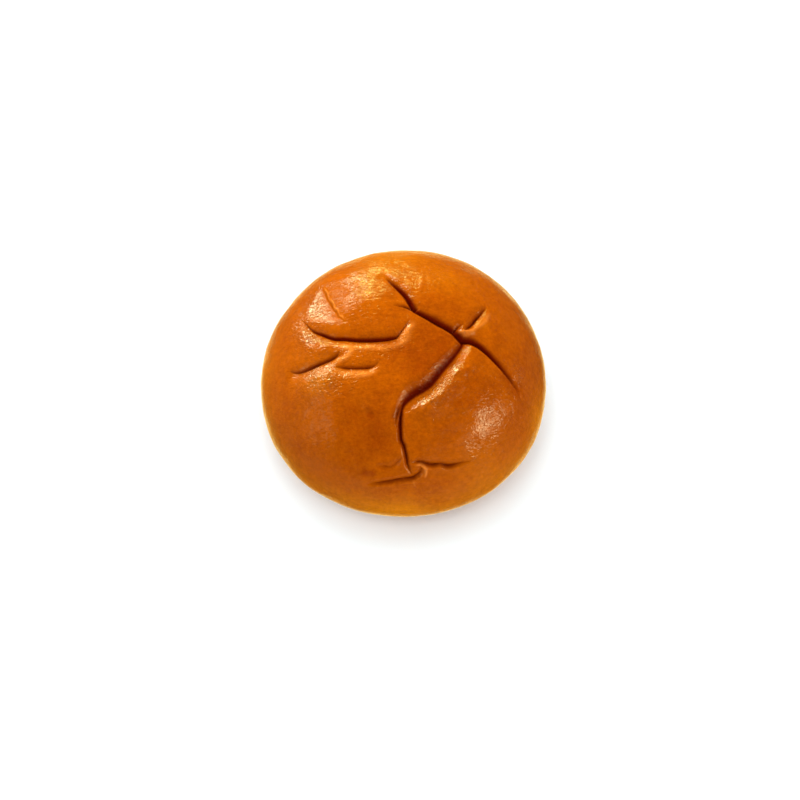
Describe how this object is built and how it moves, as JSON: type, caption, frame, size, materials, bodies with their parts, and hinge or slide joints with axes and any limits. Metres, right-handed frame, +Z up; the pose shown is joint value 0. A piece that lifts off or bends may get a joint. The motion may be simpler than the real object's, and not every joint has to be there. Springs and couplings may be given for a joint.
{
  "type": "red bean bun",
  "caption": "Round glossy baked bun with a flat base and deep folds across its domed top.",
  "frame": {"origin": "middle of the bun's box at the flat base, on the surface that the bun rests on", "axes": "+Z up through the top of the bun, -Y towards the front, where the long fold runs down to the side, +X to the right seen from the front"},
  "size_m": [0.0888, 0.09, 0.045],
  "materials": {
    "crust": "egg-washed baked crust, glossy orange-brown on top, paler towards the base"
  },
  "bodies": {
    "root": {"bun": "crust"}
  },
  "joints": []
}
